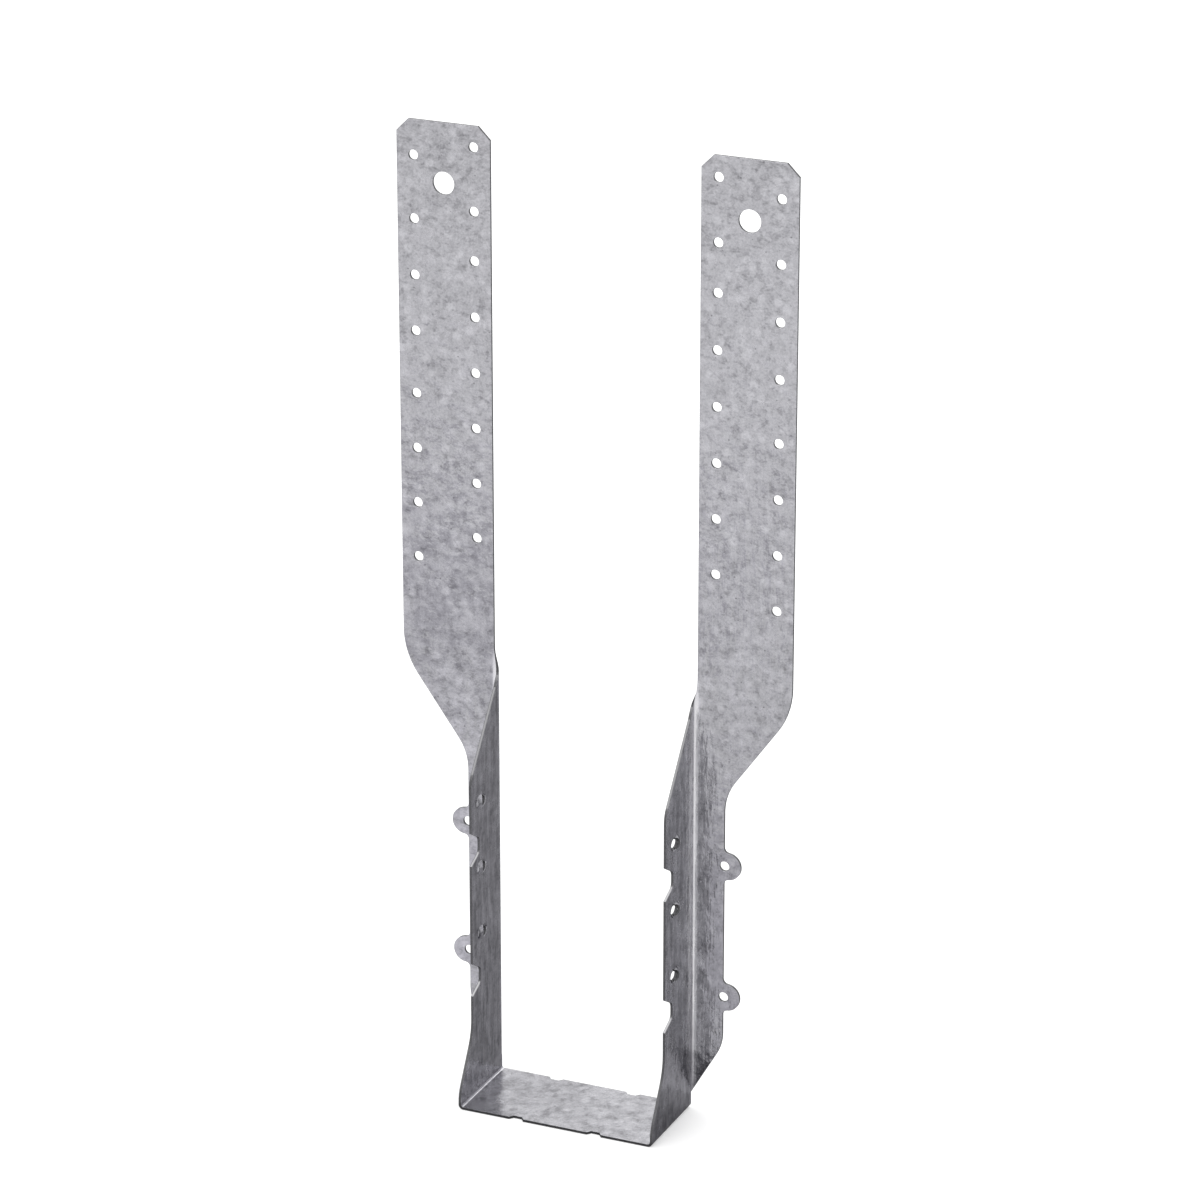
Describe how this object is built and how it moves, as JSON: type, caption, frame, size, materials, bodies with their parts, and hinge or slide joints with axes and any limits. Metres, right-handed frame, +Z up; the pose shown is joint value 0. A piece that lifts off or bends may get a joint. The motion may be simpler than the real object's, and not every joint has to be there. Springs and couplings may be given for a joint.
{
  "type": "truss hanger",
  "caption": "Folded sheet-steel truss hanger: a U-shaped seat whose side plates turn outwards into flanges and long nailing straps.",
  "frame": {"origin": "on the centre line, where the plane of the straps' backs meets the level of the seat's underside", "axes": "+Z up along the straps, -Y from the header towards the carried truss, +X to the right seen from the truss"},
  "size_m": [0.1868, 0.0457, 0.4445],
  "materials": {
    "galvanised_steel": "hot-dip galvanised sheet, pale grey, satin, with a faint cloudy grain"
  },
  "bodies": {
    "root": {"hanger": "galvanised_steel"}
  },
  "joints": []
}
